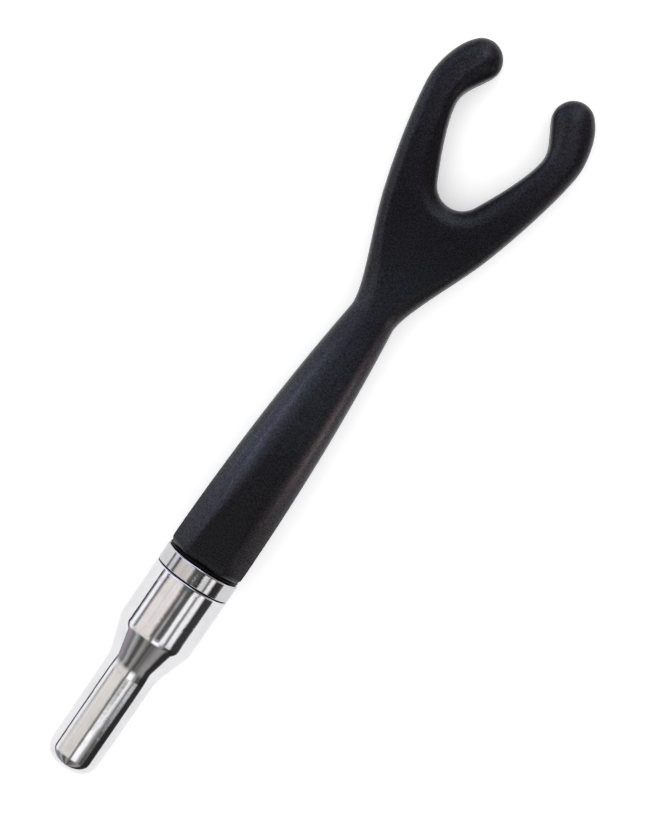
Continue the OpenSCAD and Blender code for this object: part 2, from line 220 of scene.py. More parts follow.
def polish_marks_group():
    tree, given, result = new_group(
        "polish_marks", "ShaderNodeTree",
        [("Place", "NodeSocketVector", None), ("Mark size", "NodeSocketFloat", 0.0002),
         ("Mark stretch", "NodeSocketFloat", 12.0), ("Wave size", "NodeSocketFloat", 0.003),
         ("Peel size", "NodeSocketFloat", 0.0007), ("Haze size", "NodeSocketFloat", 0.006)],
        [("Marks", "NodeSocketFloat"), ("Waves", "NodeSocketFloat"), ("Peel", "NodeSocketFloat"),
         ("Haze", "NodeSocketFloat")])
    along = maths(tree, "DIVIDE", 1.0, given["Mark stretch"])
    stretched = node(tree, "ShaderNodeVectorMath", {
        0: given["Place"],
        1: node(tree, "ShaderNodeCombineXYZ", {"X": 1.0, "Y": along, "Z": 1.0}).outputs[0],
    }, operation="MULTIPLY").outputs[0]
    marks = node(tree, "ShaderNodeTexNoise", {
        "Vector": stretched, "Scale": maths(tree, "DIVIDE", 1.0, given["Mark size"]), "Detail": 3.0})
    waves = node(tree, "ShaderNodeTexNoise", {
        "Vector": given["Place"], "Scale": maths(tree, "DIVIDE", 1.0, given["Wave size"]),
        "Detail": 1.5, "Roughness": 0.35})
    peel = node(tree, "ShaderNodeTexNoise", {
        "Vector": given["Place"], "Scale": maths(tree, "DIVIDE", 1.0, given["Peel size"]),
        "Detail": 1.0, "Roughness": 0.4})
    haze = node(tree, "ShaderNodeTexNoise", {
        "Vector": given["Place"], "Scale": maths(tree, "DIVIDE", 1.0, given["Haze size"]),
        "Detail": 5.0, "Roughness": 0.65})
    put(tree, result["Marks"], mapped(tree, marks.outputs["Fac"], 0.35, 0.7, 0.0, 1.0))
    put(tree, result["Waves"], waves.outputs["Fac"])
    put(tree, result["Peel"], peel.outputs["Fac"])
    put(tree, result["Haze"], mapped(tree, haze.outputs["Fac"], 0.45, 0.75, 0.0, 1.0))
    return tree


MOULDED_GRAIN = moulded_grain_group()
POLISH_MARKS = polish_marks_group()


def new_material(name):
    material = bpy.data.materials.new(name)
    material.use_nodes = True
    tree = material.node_tree
    shader = tree.nodes["Principled BSDF"]
    place = node(tree, "ShaderNodeTexCoord").outputs["Object"]
    return material, tree, shader.inputs, place


def effect(tree, group, values):
    made = tree.nodes.new("ShaderNodeGroup")
    made.node_tree = group
    for key, value in values.items():
        put(tree, made.inputs[key], value)
    return made.outputs


def bumped(tree, height, distance):
    return node(tree, "ShaderNodeBump", {
        "Height": height, "Strength": 1.0, "Distance": distance}).outputs["Normal"]


RUBBER_IOR = 1.41
GRAIN_ROUGHNESS = 0.05


def rubber(name, dark, light, bloom, grain_size, cloud_size, rough, gloss, sparkle, grain_height):
    """Moulded rubber: clouded colour with a fine pale bloom, and grain in bump, roughness and sparkle."""
    material, tree, shader, place = new_material(name)
    grain = effect(tree, MOULDED_GRAIN, {
        "Place": place, "Grain size": grain_size, "Cloud size": cloud_size})
    clouded = blended(tree, grain["Cloud"], dark, light)
    put(tree, shader["Base Color"], blended(tree, grain["Speckle"], clouded, bloom))
    even = mapped(tree, grain["Cloud"], 0.0, 1.0, rough[0], rough[1])
    fine = mapped(tree, grain["Grain"], 0.2, 0.8, -GRAIN_ROUGHNESS, GRAIN_ROUGHNESS)
    put(tree, shader["Roughness"], maths(tree, "ADD", even, fine))
    put(tree, shader["Normal"], bumped(tree, grain["Grain"], grain_height))
    put(tree, shader["Coat Weight"], maths(tree, "MULTIPLY", grain["Speckle"], sparkle))
    shader["Coat Roughness"].default_value = rough[1]
    shader["Coat IOR"].default_value = RUBBER_IOR
    shader["Specular IOR Level"].default_value = gloss
    shader["IOR"].default_value = RUBBER_IOR
    return material


def metal(name, bright, dull, rough, marks, heights, joint_shade=None):
    """Polished or turned metal: marks along the axis, soft waves, fine peel and a thin haze.

    Heights are those of waves, peel and marks. Joint shade is the dark colour painted inside the screw
    joint as shade, and the roughness added there.
    """
    material, tree, shader, place = new_material(name)
    found = effect(tree, POLISH_MARKS, {"Place": place, **marks})
    colour = blended(tree, found["Haze"], bright, dull)
    streaked = mapped(tree, found["Marks"], 0.0, 1.0, rough[0], rough[1])
    hazed = maths(tree, "MULTIPLY", found["Haze"], 0.5 * (rough[1] - rough[0]))
    roughness = maths(tree, "ADD", streaked, hazed)
    # Painted shade: the chrome is darkened inside the screw joint between collar and barrel, and made
    # rougher there
    if joint_shade:
        inside = joint_shade_mask(tree, place)
        colour = blended(tree, inside, colour, joint_shade[0])
        roughness = maths(tree, "ADD", roughness, maths(tree, "MULTIPLY", inside, joint_shade[1]))
    put(tree, shader["Base Color"], colour)
    put(tree, shader["Roughness"], roughness)
    parts = [maths(tree, "MULTIPLY", found[key], most)
             for key, most in zip(("Waves", "Peel", "Marks"), heights)]
    height = maths(tree, "ADD", maths(tree, "ADD", parts[0], parts[1]), parts[2])
    put(tree, shader["Normal"], bumped(tree, height, 1.0))
    shader["Metallic"].default_value = 1.0
    return material


# Where painted shade darkens the chrome inside the screw joint: how far in, below the seam, and below the
# collar's top
JOINT_SHADE_DEPTH = (0.1, 0.3)
JOINT_SHADE_FROM = (0.5, 0.3)
JOINT_SHADE_UNTIL = (0.3, 0.1)


def joint_shade_mask(tree, place):
    """1 where shade is painted inside the screw joint, 0 on the polished outside."""
    ways = node(tree, "ShaderNodeSeparateXYZ", {0: place}).outputs
    radius = maths(tree, "SQRT", maths(tree, "ADD", maths(tree, "MULTIPLY", ways["X"], ways["X"]),
                                       maths(tree, "MULTIPLY", ways["Z"], ways["Z"])))
    inside = [(BARREL_R - depth) * MM for depth in JOINT_SHADE_DEPTH]
    start = [(SEAM_Y - below) * MM for below in JOINT_SHADE_FROM]
    end = [(COLLAR_TOP_Y - below) * MM for below in JOINT_SHADE_UNTIL]
    deep = mapped(tree, radius, inside[0], inside[1], 0.0, 1.0)
    high = mapped(tree, ways["Y"], start[0], start[1], 0.0, 1.0)
    low = mapped(tree, ways["Y"], end[0], end[1], 1.0, 0.0)
    return maths(tree, "MULTIPLY", deep, maths(tree, "MULTIPLY", high, low))


def chrome(name, bright, dull, heights):
    # The dark colour given as joint shade is painted shade inside the screw joint; the number after it is
    # added roughness
    return metal(
        name, bright, dull, rough=(0.02, 0.06),
        marks={"Mark size": 0.00035, "Mark stretch": 9.0, "Wave size": 0.0035, "Haze size": 0.005},
        heights=heights, joint_shade=((0.035, 0.03, 0.026, 1), 0.4))


CHROME = chrome(
    "polished_chrome", bright=(0.58, 0.58, 0.59, 1), dull=(0.51, 0.50, 0.51, 1),
    heights=(0.000014, 0.0000018, 0.0000005))
COLLAR_CHROME = chrome(
    "collar_chrome", bright=(0.45, 0.45, 0.455, 1), dull=(0.40, 0.39, 0.39, 1),
    heights=(0.00003, 0.000003, 0.0000006))
BRASS = metal(
    "turned_brass", bright=(0.72, 0.52, 0.24, 1), dull=(0.50, 0.33, 0.13, 1), rough=(0.18, 0.34),
    marks={"Mark size": 0.0016, "Mark stretch": 0.08, "Wave size": 0.002, "Haze size": 0.003},
    heights=(0.000006, 0.000001, 0.000004))
STEEL = metal(
    "drawn_steel", bright=(0.58, 0.58, 0.60, 1), dull=(0.40, 0.39, 0.39, 1), rough=(0.22, 0.40),
    marks={"Mark size": 0.00012, "Mark stretch": 40.0, "Wave size": 0.002, "Haze size": 0.003},
    heights=(0.000004, 0.000001, 0.000003))
SILICONE = rubber(
    "black_silicone", dark=(0.0009, 0.0008, 0.0012, 1), light=(0.0015, 0.0013, 0.0020, 1),
    bloom=(0.0036, 0.0031, 0.0050, 1), grain_size=0.00016, cloud_size=0.009,
    rough=(0.32, 0.38), gloss=0.19, sparkle=0.76, grain_height=0.00001)
SEAL_RUBBER = rubber(
    "seal_rubber", dark=(0.0012, 0.0012, 0.0013, 1), light=(0.0022, 0.0022, 0.0024, 1),
    bloom=(0.003, 0.003, 0.003, 1), grain_size=0.00012, cloud_size=0.003,
    rough=(0.45, 0.55), gloss=0.1, sparkle=0.08, grain_height=0.00001)


# Turned pieces: a profile of radius and place along the axis, spun by geometry nodes

def arc(centre, r, start, end, steps):
    turns = [radians(start + (end - start) * i / steps) for i in range(steps + 1)]
    return [(centre[0] + r * cos(a), centre[1] + r * sin(a), 0.0) for a in turns]


def apart(a, b):
    return hypot(b[0] - a[0], b[1] - a[1])


def straight(a, b, step, cut=0.0):
    """Points from a to b, no more than a step apart; cut says how deep a thread is cut there."""
    count = max(1, ceil(apart(a, b) / step))
    return [(a[0] + (b[0] - a[0]) * i / count, a[1] + (b[1] - a[1]) * i / count, cut)
            for i in range(count + 1)]


def threaded(r, start, end, fade):
    """A threaded stretch whose thread runs out at both ends."""
    points = straight((r, start), (r, end), THREAD_PITCH / THREAD_STEPS, 1.0)
    return [(p[0], p[1], min(1.0, abs(p[1] - start) / fade, abs(p[1] - end) / fade)) for p in points]


THREAD_FLANK = (0.09, 0.41)


def turning_tree():
    """Spins a profile about the axis; a right-hand thread is cut where the profile says so."""
    tree, given, result = new_group(
        "turned_piece", "GeometryNodeTree",
        [("Profile", "NodeSocketGeometry", None), ("Segments", "NodeSocketInt", TURN_SEGMENTS),
         ("Thread pitch", "NodeSocketFloat", THREAD_PITCH * MM),
         ("Thread depth", "NodeSocketFloat", THREAD_DEPTH * MM),
         ("Sharp above", "NodeSocketFloat", TURNED_SHARP), ("Finish", "NodeSocketMaterial", None)],
        [("Piece", "NodeSocketGeometry")])
    count = node(tree, "GeometryNodeAttributeDomainSize", {
        "Geometry": given["Profile"]}).outputs["Point Count"]
    ring = maths(tree, "ADD", given["Segments"], 1.0)
    grid = node(tree, "GeometryNodeMeshGrid", {"Vertices X": count, "Vertices Y": ring}).outputs["Mesh"]
    index = node(tree, "GeometryNodeInputIndex").outputs[0]
    row = maths(tree, "FLOOR", maths(tree, "DIVIDE", maths(tree, "ADD", index, 0.5), ring))
    column = maths(tree, "SUBTRACT", index, maths(tree, "MULTIPLY", row, ring))
    around = maths(tree, "DIVIDE", column, given["Segments"])

    def at_row(kind, value):
        made = node(tree, "GeometryNodeSampleIndex", {"Geometry": given["Profile"]}, data_type=kind)
        put(tree, made.inputs["Value"], value)
        put(tree, made.inputs["Index"], row)
        return made.outputs["Value"]

    place = node(tree, "ShaderNodeSeparateXYZ", {
        0: at_row("FLOAT_VECTOR", node(tree, "GeometryNodeInputPosition").outputs[0])}).outputs
    cut = at_row("FLOAT", node(tree, "GeometryNodeInputNamedAttribute", {"Name": "thread_cut"},
                               data_type="FLOAT").outputs["Attribute"])
    turns = maths(tree, "SUBTRACT", maths(tree, "DIVIDE", place["Y"], given["Thread pitch"]), around)
    fold = maths(tree, "ABSOLUTE", maths(tree, "SUBTRACT", maths(tree, "FRACT", turns), 0.5))
    groove = mapped(tree, fold, THREAD_FLANK[0], THREAD_FLANK[1], 0.0, 1.0)
    deep = maths(tree, "MULTIPLY", maths(tree, "MULTIPLY", given["Thread depth"], cut), groove)
    radius = maths(tree, "SUBTRACT", place["X"], deep)
    angle = maths(tree, "MULTIPLY", around, 2 * pi)
    spun = node(tree, "ShaderNodeCombineXYZ", {
        "X": maths(tree, "MULTIPLY", radius, maths(tree, "SINE", angle)),
        "Y": place["Y"],
        "Z": maths(tree, "MULTIPLY", radius, maths(tree, "COSINE", angle))}).outputs[0]
    moved = node(tree, "GeometryNodeSetPosition", {"Geometry": grid, "Position": spun}).outputs[0]
    closed = node(tree, "GeometryNodeMergeByDistance", {"Geometry": moved, "Distance": MERGE}).outputs[0]
    outward = node(tree, "GeometryNodeFlipFaces", {"Mesh": closed}).outputs[0]
    soft = node(tree, "GeometryNodeSetShadeSmooth", {"Geometry": outward}, domain="FACE").outputs[0]
    bend = node(tree, "GeometryNodeInputMeshEdgeAngle").outputs["Unsigned Angle"]
    crisp = node(tree, "GeometryNodeSetShadeSmooth", {
        "Geometry": soft, "Shade Smooth": False,
        "Selection": maths(tree, "GREATER_THAN", bend, given["Sharp above"])}, domain="EDGE").outputs[0]
    whole = node(tree, "GeometryNodeRealizeInstances", {"Geometry": crisp}).outputs[0]
    finished = node(tree, "GeometryNodeSetMaterial", {
        "Geometry": whole, "Material": given["Finish"]}).outputs[0]
    put(tree, result["Piece"], finished)
    return tree


def plain_mesh(obj):
    """Turns the result of an object's geometry nodes into its own plain mesh."""
    depsgraph = bpy.context.evaluated_depsgraph_get()
    made = bpy.data.meshes.new_from_object(
        obj.evaluated_get(depsgraph), preserve_all_data_layers=True, depsgraph=depsgraph)
    obj.modifiers.clear()
    obj.data = made
    made.name = obj.name
    return obj


def new_object(name, mesh):
    obj = bpy.data.objects.new(name, mesh)
    bpy.context.scene.collection.objects.link(obj)
    return obj


TURNING = turning_tree()


def turned(name, profile, finish):
    points = [profile[0]] + [b for a, b in zip(profile, profile[1:]) if apart(a, b) > SAME_POINT]
    mesh = bpy.data.meshes.new(name + "_profile")
    mesh.from_pydata([(r * MM, y * MM, 0.0) for r, y, cut in points], [], [])
    cuts = mesh.attributes.new("thread_cut", "FLOAT", "POINT")
    cuts.data.foreach_set("value", [cut for r, y, cut in points])
    obj = new_object(name, mesh)
    modifier = obj.modifiers.new("turning", "NODES")
    modifier.node_group = TURNING
    inputs = [item for item in TURNING.interface.items_tree if item.in_out == "INPUT"]
    sockets = {item.name: item.identifier for item in inputs}
    modifier[sockets["Finish"]] = finish
    return plain_mesh(obj)


def flare_turn():
    """Slope of the flare's cone, tangent to its hollow and to its shoulder, in degrees."""
    both = HOLLOW_R + SHOULDER_R
    offset = both - (BARREL_R - SHANK_R)
    return degrees(asin(both / hypot(FLARE_LEN, offset)) - atan2(offset, FLARE_LEN))


def plug_profile():
    slope = flare_turn()
    bore_r = SHANK_R - SHELL_WALL
    bore_floor = NOSE_R + SHELL_WALL - SHANK_LEN
    edge_y = SEAM_Y - CHROME_EDGE_R
    hollow = (SHANK_R + HOLLOW_R, 0)
    shoulder = (BARREL_R - SHOULDER_R, FLARE_LEN)
    into_hollow = arc(hollow, HOLLOW_R, 180, 180 - slope, HOLLOW_STEPS)
    over_shoulder = arc(shoulder, SHOULDER_R, -slope, 0, SHOULDER_STEPS)
    return (
        straight((0, -SHANK_LEN), (SHANK_R - NOSE_R, -SHANK_LEN), NOSE_FACE_STEP)
        + arc((SHANK_R - NOSE_R, NOSE_R - SHANK_LEN), NOSE_R, -90, 0, NOSE_STEPS)
        + straight((SHANK_R, NOSE_R - SHANK_LEN), (SHANK_R, 0), OUTSIDE_STEP)
        + into_hollow
        + straight(into_hollow[-1], over_shoulder[0], FACE_STEP)
        + over_shoulder
        + straight((BARREL_R, FLARE_LEN), (BARREL_R, edge_y - EDGE_HOLD), OUTSIDE_STEP)
        + arc((BARREL_R - CHROME_EDGE_R, edge_y), CHROME_EDGE_R, 0, 90, CHROME_EDGE_STEPS)
        + straight((BARREL_R - CHROME_EDGE_R, SEAM_Y), (SPIGOT_R, SEAM_Y), FACE_STEP)
        + threaded(SPIGOT_R, SEAM_Y, SPIGOT_TOP_Y - SPIGOT_CHAMFER, SPIGOT_THREAD_FADE)
        + straight((SPIGOT_R, SPIGOT_TOP_Y - SPIGOT_CHAMFER),
                   (SPIGOT_R - SPIGOT_CHAMFER, SPIGOT_TOP_Y), CHAMFER_STEP)
        + straight((SPIGOT_R - SPIGOT_CHAMFER, SPIGOT_TOP_Y), (BARREL_BORE_R, SPIGOT_TOP_Y), FACE_STEP)
        + straight((BARREL_BORE_R, SPIGOT_TOP_Y), (BARREL_BORE_R, FLARE_LEN), BORE_STEP)
        + straight((BARREL_BORE_R, FLARE_LEN), (bore_r, 0), BORE_STEP)
        + straight((bore_r, 0), (bore_r, bore_floor), BORE_STEP)
        + straight((bore_r, bore_floor), (0, bore_floor), BORE_FLOOR_STEP)
    )


def collar_profile():
    foot_y = COLLAR_Y + COLLAR_FOOT_R
    top_y = COLLAR_TOP_Y - CHROME_EDGE_R
    top_r = BARREL_R - CHROME_EDGE_R
    lip_r = LIP_HOLE_R + LIP_EDGE_R
    lip_top = COLLAR_TOP_Y - LIP_EDGE_R
    return (
        threaded(COLLAR_BORE_R, THREAD_END_Y, COLLAR_Y, COLLAR_THREAD_FADE)
        + straight((COLLAR_BORE_R, COLLAR_Y), (BARREL_R - COLLAR_FOOT_R, COLLAR_Y), COLLAR_FACE_STEP)
        + arc((BARREL_R - COLLAR_FOOT_R, foot_y), COLLAR_FOOT_R, -90, 0, COLLAR_FOOT_STEPS)
        + straight((BARREL_R, foot_y + EDGE_HOLD), (BARREL_R, top_y - EDGE_HOLD), COLLAR_STEP)
        + arc((top_r, top_y), CHROME_EDGE_R, 0, 90, CHROME_EDGE_STEPS)
        + straight((top_r, COLLAR_TOP_Y), (lip_r, COLLAR_TOP_Y), FACE_STEP)
        + arc((lip_r, lip_top), LIP_EDGE_R, 90, 180, LIP_EDGE_STEPS)
        + straight((LIP_HOLE_R, lip_top), (LIP_HOLE_R, LIP_Y), COLLAR_STEP)
        + straight((LIP_HOLE_R, LIP_Y), (COLLAR_BORE_R, LIP_Y), FACE_STEP)
        + straight((COLLAR_BORE_R, LIP_Y), (COLLAR_BORE_R, THREAD_END_Y), THREAD_RELIEF_STEP)
    )


def seal_profile():
    half = (FOOT_Y - SEAL_Y) / 2
    middle = SEAL_Y + half
    return (
        straight((SEAL_BORE_R, SEAL_Y), (SEAL_R - half, SEAL_Y), FACE_STEP)
        + arc((SEAL_R - half, middle), half, -90, 90, SEAL_STEPS)
        + straight((SEAL_R - half, FOOT_Y), (SEAL_BORE_R, FOOT_Y), FACE_STEP)
        + straight((SEAL_BORE_R, FOOT_Y), (SEAL_BORE_R, SEAL_Y), SEAL_BORE_STEP)
    )


plug = turned("chrome_plug", plug_profile(), CHROME)
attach(plug, "plug")
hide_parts("plug_shell")

collar = turned("chrome_collar", collar_profile(), COLLAR_CHROME)
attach(collar, "collar")
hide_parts("collar_ring")

seal = turned("rubber_seal", seal_profile(), SEAL_RUBBER)
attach(seal, "head")
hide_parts("seal_washer")


# The silicone head: rows across half of it, from the foot of the stem to the tips

def mix(a, b, t):
    return a + (b - a) * t


def clamp01(t):
    return min(1.0, max(0.0, t))


def smooth(t):
    c = clamp01(t)
    return c * c * (3 - 2 * c)


def on_circle(centre, r, turn):
    return centre + r * Vector((cos(radians(turn)), sin(radians(turn))))


def bend_curve(a, heading_a, b, heading_b, pulls, t):
    """Cubic curve from a to b that leaves and arrives along two headings, each with its own strength."""
    reach = (b - a).length
    ta = Vector((sin(radians(heading_a)), cos(radians(heading_a)))) * reach * pulls[0]
    tb = Vector((sin(radians(heading_b)), cos(radians(heading_b)))) * reach * pulls[1]
    return (a * (2 * t**3 - 3 * t**2 + 1) + ta * (t**3 - 2 * t**2 + t)
            + b * (3 * t**2 - 2 * t**3) + tb * (t**3 - t**2))


WAIST_Y = FOOT_Y + STEM_LEN
CROTCH_Y = WAIST_Y + WEB_LEN
TIP_END_Y = CROTCH_Y + FORK_LEN
TIP = Vector((MOUTH_W / 2 + TIP_R, TIP_END_Y - TIP_R))
BEND = Vector((GAP_W / 2, TIP.y - HOOK_LEN))
WAIST = Vector((WAIST_W / 2, WAIST_Y))
WIDEST = Vector((FORK_W / 2, BEND.y + HOOK_LEN / 5))
FLANK_SHARE = (0.53, 0.43)
FLANK = Vector((mix(WAIST.x, WIDEST.x, FLANK_SHARE[0]), mix(WAIST.y, WIDEST.y, FLANK_SHARE[1])))
FLANK_HEADING = 19.4
WAIST_HEADING = -degrees(atan((STEM_W - WAIST_W) / 2 * STEM_BULGE / STEM_LEN))
CROTCH_CENTRE = Vector((0, CROTCH_Y + CROTCH_R))
OUTER_END = 47
INNER_END = 208
OUTER_TIP = on_circle(TIP, TIP_R, OUTER_END)
INNER_TIP = on_circle(TIP, TIP_R, INNER_END)
INNER_FOOT = on_circle(CROTCH_CENTRE, CROTCH_R, -SPLAY)
STEM_THINNING = (STEM_T - WAIST_T) / 2 * STEM_BULGE / STEM_LEN

# How strongly the outline's curves leave each point, and arrive at the next
FLANK_IN_PULLS = (0.53, 1)
FLANK_OUT_PULLS = (0.93, 0.5)
OUTER_HOOK_PULLS = (0.5, 1.14)
INNER_SIDE_PULLS = (1.5, 0.43)
INNER_HOOK_PULLS = (0.93, 1.5)


def stem_share(y):
    return clamp01((y - FOOT_Y) / STEM_LEN) ** STEM_BULGE


def flank_in(t):
    return bend_curve(WAIST, WAIST_HEADING, FLANK, FLANK_HEADING, FLANK_IN_PULLS, t)


def flank_out(t):
    return bend_curve(FLANK, FLANK_HEADING, WIDEST, 0, FLANK_OUT_PULLS, t)


def outer_hook(t):
    return bend_curve(WIDEST, 0, OUTER_TIP, -OUTER_END, OUTER_HOOK_PULLS, t)


def inner_side(t):
    return bend_curve(INNER_FOOT, SPLAY, BEND, 0, INNER_SIDE_PULLS, t)


def inner_hook(t):
    return bend_curve(BEND, 0, INNER_TIP, 180 - INNER_END, INNER_HOOK_PULLS, t)


def half_thickness(y):
    if y < WAIST_Y:
        return mix(STEM_T, WAIST_T, stem_share(y)) / 2
    t = clamp01((y - WAIST_Y) / WEB_LEN)
    return mix(WAIST_T, FORK_T, smooth(t)) / 2 - STEM_THINNING * WEB_LEN * t * (1 - t) ** 2


# How the head's sides rise from the parting line: facets at the stem's foot, round at the waist,
# and upright with rounded edges on the fork. Each is the share of the half thickness that stands
# upright, then the two powers of the curve from there to the top.
FOOT_SIDE = (1 - 2 * FACET_H / STEM_T, 1.3, 1.0)
WAIST_SIDE = (0.35, 2.2, 0.6)
EDGE_SIDE = (0.4, 2.0, 0.5)
CROTCH_SIDE = (0.25, 2.0, 0.5)
TIP_SIDE = (0.3, 2.0, 0.5)
WAIST_ROUND = 0.98
STEM_SETTLED = 0.6
WEB_SETTLED = 0.6
MOST_OF_ROW = 0.45
SOFT_PART = 0.67


def mixed(first, last, t):
    return [mix(a, b, t) for a, b in zip(first, last)]


def side_shape(y, span):
    """Width and form of the head's outer side at a place along the axis, in a row of that half width."""
    if y < WAIST_Y:
        t = smooth((y - FOOT_Y) / STEM_LEN / STEM_SETTLED)
        return span * mix(2 * FACET_W / STEM_W, WAIST_ROUND, t), mixed(FOOT_SIDE, WAIST_SIDE, t)
    t = smooth((y - WAIST_Y) / WEB_LEN / WEB_SETTLED)
    return mix(WAIST_ROUND * WAIST_W / 2, EDGE_W, t), mixed(WAIST_SIDE, EDGE_SIDE, t)


def fork_shape(shape, towards, t):
    """A shape on its way to that of the crotch or the tips."""
    return mix(shape[0], towards[0], smooth(t)), mixed(shape[1], towards[1], smooth(t))


def rise(share, form):
    """Height of a side over its upright part, up to 1 where it meets the top."""
    upright, steep, full = form
    return mix(upright, 1, (1 - (1 - clamp01(share)) ** steep) ** full)


STEM_ROWS = 56
WEB_ROWS = 40
CROTCH_ROWS = 30
TINE_ROWS = 34
HOOK_ROWS = 26
TIP_ROWS = 22
WALL_STEPS = (0.2, 0.6, 0.9, 1.0)
SIDE_STEPS = 16
MIDDLE_STEPS = 8
FOOT_STEPS = 8
CROTCH_SHARE = 0.25
WEB_TOP_Y = CROTCH_Y - CROTCH_EDGE_W


def stem_and_web_rows():
    """Outer ends of the rows that reach the axis, and the places where they do."""
    outer = []
    middle = []
    for i in range(STEM_ROWS):
        y = mix(FOOT_Y + FOOT_ROUND, WAIST_Y, i / STEM_ROWS)
        outer.append(Vector((mix(STEM_W, WAIST_W, stem_share(y)) / 2, y)))
        middle.append(Vector((0, y)))
    for i in range(WEB_ROWS):
        t = i / WEB_ROWS
        outer.append(flank_in(t))
        middle.append(Vector((0, mix(WAIST_Y, WEB_TOP_Y, t))))
    return outer, middle


def fork_rows():
    """Outer and inner ends of the rows across a tine, from the crotch to the tip."""
    outer = []
    inner = []
    for i in range(CROTCH_ROWS):
        t = i / CROTCH_ROWS
        outer.append(flank_out(CROTCH_SHARE * t))
        inner.append(on_circle(CROTCH_CENTRE, CROTCH_R, mix(-90, -SPLAY, t)))
    for i in range(TINE_ROWS):
        t = i / TINE_ROWS
        outer.append(flank_out(mix(CROTCH_SHARE, 1, t)))
        inner.append(inner_side(t))
    for i in range(HOOK_ROWS):
        t = i / HOOK_ROWS
        outer.append(outer_hook(t))
        inner.append(inner_hook(t))
    for i in range(TIP_ROWS):
        t = sin(pi / 2 * i / TIP_ROWS)
        outer.append(on_circle(TIP, TIP_R, mix(OUTER_END, 90, t)))
        inner.append(on_circle(TIP, TIP_R, mix(INNER_END, 90, t)))
    return outer, inner


TIP_ROW = CROTCH_ROWS + TINE_ROWS + HOOK_ROWS


def inward(points, side, before):
    """Directions into the silicone, square to an edge; before is the point ahead of the first."""
    line = [before] + points + [points[-1] * 2 - points[-2]]
    ways = [(b - a).normalized() for a, b in zip(line, line[2:])]
    return [Vector((-side * w.y, side * w.x)) for w in ways]


FLASH_SHOULDER = (0.4, 0.6)
FLASH_MOST = 0.1


def flash_points(edge, way, flash):
    """The mould flash: a fin on the parting line with rounded shoulders."""
    shoulder = (edge + way * flash * FLASH_SHOULDER[0], FLASH_HALF * FLASH_SHOULDER[1])
    return [(edge, 0.0), shoulder, (edge + way * flash, FLASH_HALF)]


def side_points(edge, way, shape, on_tip):
    """Points from the parting line up one side of the head, each a place and a height."""
    width, form = shape
    flash = min(FLASH_RISE, FLASH_MOST * width)
    wall = form[0] * half_thickness(edge.y)
    points = flash_points(edge, way, flash) + [(edge + way * flash, wall * share) for share in WALL_STEPS]
    for k in range(1, SIDE_STEPS + 1):
        share = 1 - cos(pi / 2 * k / SIDE_STEPS)
        p = edge + way * mix(flash, width, share)
        height = rise(tip_share(p) if on_tip else share, form)
        points.append((p, half_thickness(p.y) * height))
    return points


def tip_share(p):
    return (TIP_R - (p - TIP).length) / TIP_EDGE_W


def between(first, last):
    return [first.lerp(last, k / (MIDDLE_STEPS + 1)) for k in range(1, MIDDLE_STEPS + 1)]


def placed_row(points):
    return [Vector((p.x, p.y, z)) for p, z in points]


def axis_row(outer, way, middle):
    shape = side_shape(outer.y, (middle - outer).length)
    side = side_points(outer, way, shape, False)
    top = [(p, half_thickness(p.y)) for p in between(side[-1][0], middle)]
    return placed_row(side + top + [(middle, half_thickness(middle.y))])


def tine_row(outer, way_out, inner, way_in, past_crotch, to_tip):
    """A row across a tine.

    past_crotch reaches 1 where the crotch's soft edge ends, and to_tip where the round tip begins.
    """
    span = (inner - outer).length
    on_tip = to_tip >= 1
    tip_shape = (TIP_EDGE_W, TIP_SIDE)
    soft = fork_shape((CROTCH_EDGE_W, CROTCH_SIDE), (EDGE_W, EDGE_SIDE), past_crotch)
    sides = []
    for edge, way, shape in ((outer, way_out, side_shape(outer.y, span)), (inner, way_in, soft)):
        width, form = fork_shape(shape, tip_shape, to_tip)
        sides.append(side_points(edge, way, (min(width, MOST_OF_ROW * span), form), on_tip))
    near, far = sides
    top = []
    for p in between(near[-1][0], far[-1][0]):
        height = rise(tip_share(p), TIP_SIDE) if on_tip else 1.0
        top.append((p, half_thickness(p.y) * height))
    return placed_row(near + top + far[::-1])


def head_rows():
    outer, middle = stem_and_web_rows()
    fork_outer, fork_inner = fork_rows()
    every_outer = outer + fork_outer
    ways = inward(every_outer, 1, every_outer[0] * 2 - every_outer[1])
    inner_ways = inward(fork_inner, -1, Vector((-fork_inner[1].x, fork_inner[1].y)))
    rows = [axis_row(o, w, m) for o, w, m in zip(outer, ways, middle)]
    for i, (o, w, n, v) in enumerate(zip(fork_outer, ways[len(outer):], fork_inner, inner_ways)):
        past_crotch = (i - CROTCH_ROWS) / (SOFT_PART * TINE_ROWS)
        to_tip = (i - TIP_ROW) / HOOK_ROWS + 1
        rows.append(tine_row(o, w, n, v, past_crotch, to_tip))
    end_height = TIP_SIDE[0] * FORK_T / 2
    rows.append([Vector((TIP.x, TIP_END_Y, min(p.z, end_height))) for p in rows[-1]])
    return rows


def foot_points(full, step):
    """The foot's rounding: the lowest row drawn in towards the axis."""
    a = pi / 2 * step / FOOT_STEPS
    wide = 1 - 2 * FOOT_ROUND * (1 - sin(a)) / STEM_W
    thick = 1 - 2 * FOOT_DRAW * (1 - sin(a)) / STEM_T
    y = FOOT_Y + FOOT_ROUND * (1 - cos(a))
    return [Vector((p.x * wide, y, p.z * thick)) for p in full]


def pocket_points(rim, r, y):
    """The rim's points moved to a circle about the axis: a step of the hub's pocket."""
    turns = [atan2(p.x, p.z) for p in rim]
    return [Vector((r * sin(a), y, r * cos(a))) for a in turns]


def add_quarter(bm, grid, pocket_top, sx, sz):
    """Adds one quarter of the head, mirrored by two signs, with the pocket closed at its top."""
    def placed(p):
        return bm.verts.new((sx * p.x * MM, p.y * MM, sz * p.z * MM))

    made = [[placed(p) for p in row] for row in grid]
    for low, high in zip(made, made[1:]):
        for corners in zip(low, low[1:], high[1:], high):
            bm.faces.new(corners)
    peak = placed(pocket_top)
    for a, b in zip(made[0], made[0][1:]):
        bm.faces.new((a, b, peak))


